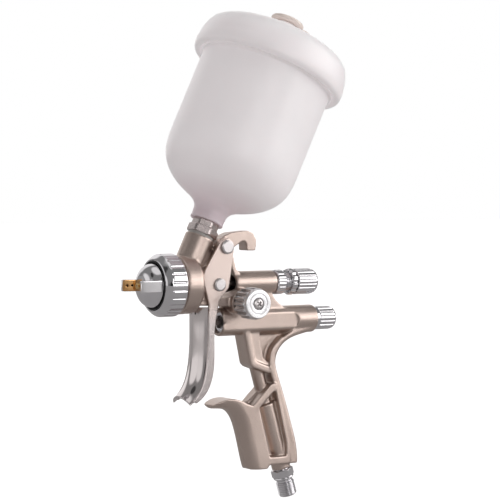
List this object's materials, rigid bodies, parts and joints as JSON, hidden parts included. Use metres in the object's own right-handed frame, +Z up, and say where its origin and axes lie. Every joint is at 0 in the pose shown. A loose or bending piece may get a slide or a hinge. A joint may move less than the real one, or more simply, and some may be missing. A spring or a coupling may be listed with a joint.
{
  "type": "hvlp spray gun",
  "caption": "Gravity-feed paint spray gun: cast body with skeleton grip and hanging hook, long trigger, horned air cap, control knobs and a tilted lidded cup.",
  "frame": {"origin": "centre of the air inlet's free end, where the hose coupling screws on", "axes": "+Z up with the needle level, the nozzle points to -X, and the spray width knob is on the -Y side"},
  "size_m": [0.1624, 0.109, 0.3385],
  "materials": {
    "champagne": "satin champagne anodised-look coating on cast aluminium",
    "chrome": "bright chrome plate",
    "satin_chrome": "satin chrome, turned face",
    "steel": "turned stainless steel",
    "brass": "machined brass",
    "black_seal": "black nitrile",
    "ptfe": "white PTFE",
    "cup_plastic": "milky translucent polypropylene",
    "lid_plastic": "milky translucent polyethylene",
    "vent_plastic": "cream soft polyethylene"
  },
  "bodies": {
    "gun": {"gun_body": "champagne", "air_distributor": "brass", "fluid_nozzle": "brass", "needle_packing": "ptfe", "packing_gland": "brass", "fluid_bush": "chrome", "lock_ring": "chrome", "air_valve_bush": "chrome", "air_valve_packing": "ptfe", "air_valve_seat": "brass", "air_control_bush": "chrome", "fan_bush": "chrome", "pivot_pin": "satin_chrome", "pivot_clip": "steel", "inlet_nipple": "chrome"},
    "cap_seal": {"cap_seal": "black_seal"},
    "cap_ring": {"air_cap_ring": "chrome"},
    "air_cap": {"air_cap": "chrome"},
    "needle": {"fluid_needle": "steel", "needle_spring": "steel"},
    "spring_seat": {"spring_seat": "steel"},
    "fluid_knob": {"fluid_knob": "chrome"},
    "air_stem": {"air_valve_stem": "steel", "air_valve_spring": "steel"},
    "air_spindle": {"air_spindle": "steel"},
    "air_knob": {"air_knob": "chrome"},
    "fan_spindle": {"fan_spindle": "steel"},
    "fan_knob": {"fan_knob": "satin_chrome", "fan_knob_screw": "chrome"},
    "trigger": {"trigger_yoke": "champagne", "trigger_blade": "chrome", "pull_pins": "satin_chrome"},
    "cup_gasket": {"cup_gasket": "ptfe"},
    "cup": {"cup_body": "cup_plastic", "cup_connector": "steel"},
    "lid_seal": {"lid_seal": "ptfe"},
    "lid": {"cup_lid": "lid_plastic"},
    "vent": {"vent_cap": "vent_plastic", "vent_strap": "vent_plastic"}
  },
  "joints": [
    {"name": "trigger_pull", "type": "hinge", "parent": "gun", "child": "trigger", "pos_m": [-0.05866, 0, 0.175], "axis": [0, -1, 0], "range_deg": [0, 10], "stiffness_Nm_per_rad": 0.6, "springref_deg": -8.02},
    {"name": "needle_slide", "type": "slide", "parent": "gun", "child": "needle", "axis": [1, 0, 0], "range_m": [0, 0.0047], "deforming": ["needle_spring"]},
    {"name": "air_valve_slide", "type": "slide", "parent": "gun", "child": "air_stem", "axis": [1, 0, 0], "range_m": [0, 0.0096], "deforming": ["air_valve_spring"]},
    {"name": "fluid_knob_turn", "type": "hinge", "parent": "spring_seat", "child": "fluid_knob", "pos_m": [0.01004, 0, 0.1496], "axis": [1, 0, 0], "range_deg": [0, 1080]},
    {"name": "fluid_knob_feed", "type": "slide", "parent": "gun", "child": "spring_seat", "axis": [1, 0, 0], "range_m": [0, 0.0031], "deforming": ["needle_spring"]},
    {"name": "air_knob_turn", "type": "hinge", "parent": "gun", "child": "air_knob", "pos_m": [0.02704, 0, 0.1233], "axis": [1, 0, 0], "range_deg": [0, 720]},
    {"name": "air_spindle_feed", "type": "slide", "parent": "gun", "child": "air_spindle", "axis": [-1, 0, 0], "range_m": [0, 0.0021]},
    {"name": "fan_knob_turn", "type": "hinge", "parent": "gun", "child": "fan_knob", "pos_m": [-0.04496, -0.025, 0.1368], "axis": [0, -1, 0], "range_deg": [0, 720]},
    {"name": "fan_spindle_feed", "type": "slide", "parent": "gun", "child": "fan_spindle", "axis": [0, 1, 0], "range_m": [0, 0.0021]},
    {"name": "cap_ring_feed", "type": "slide", "parent": "gun", "child": "cap_seal", "axis": [-1, 0, 0], "range_m": [0, 0.0031]},
    {"name": "cap_ring_turn", "type": "hinge", "parent": "cap_seal", "child": "cap_ring", "pos_m": [-0.09996, 0, 0.1496], "axis": [-1, 0, 0], "range_deg": [0, 720]},
    {"name": "air_cap_turn", "type": "hinge", "parent": "gun", "child": "air_cap", "pos_m": [-0.10996, 0, 0.1496], "axis": [1, 0, 0], "range_deg": [-90, 90]},
    {"name": "cup_feed", "type": "slide", "parent": "gun", "child": "cup_gasket", "axis": [0.4321, 0, 0.9018], "range_m": [0, 0.0093]},
    {"name": "cup_turn", "type": "hinge", "parent": "cup_gasket", "child": "cup", "pos_m": [-0.06716, 0, 0.1917], "axis": [0.4321, 0, 0.9018], "range_deg": [0, 2160]},
    {"name": "lid_feed", "type": "slide", "parent": "cup", "child": "lid_seal", "axis": [0.4321, 0, 0.9018], "range_m": [0, 0.0121]},
    {"name": "lid_turn", "type": "hinge", "parent": "lid_seal", "child": "lid", "pos_m": [-0.01099, 0, 0.30894], "axis": [0.4321, 0, 0.9018], "range_deg": [0, 1080]},
    {"name": "vent_lift", "type": "slide", "parent": "lid", "child": "vent", "axis": [0.4321, 0, 0.9018], "range_m": [0, 0.006]}
  ],
  "couplings": [
    {"joint": "needle_slide", "follows": "trigger_pull", "m_per_rad": 0.0259},
    {"joint": "air_valve_slide", "follows": "trigger_pull", "m_per_rad": 0.0532},
    {"joint": "fluid_knob_feed", "follows": "fluid_knob_turn", "m_per_rad": 0.00015915},
    {"joint": "air_spindle_feed", "follows": "air_knob_turn", "m_per_rad": 0.00015915},
    {"joint": "fan_spindle_feed", "follows": "fan_knob_turn", "m_per_rad": 0.00015915},
    {"joint": "cap_ring_feed", "follows": "cap_ring_turn", "m_per_rad": 0.00023873},
    {"joint": "cup_feed", "follows": "cup_turn", "m_per_rad": 0.00023873},
    {"joint": "lid_feed", "follows": "lid_turn", "m_per_rad": 0.00063662}
  ]
}
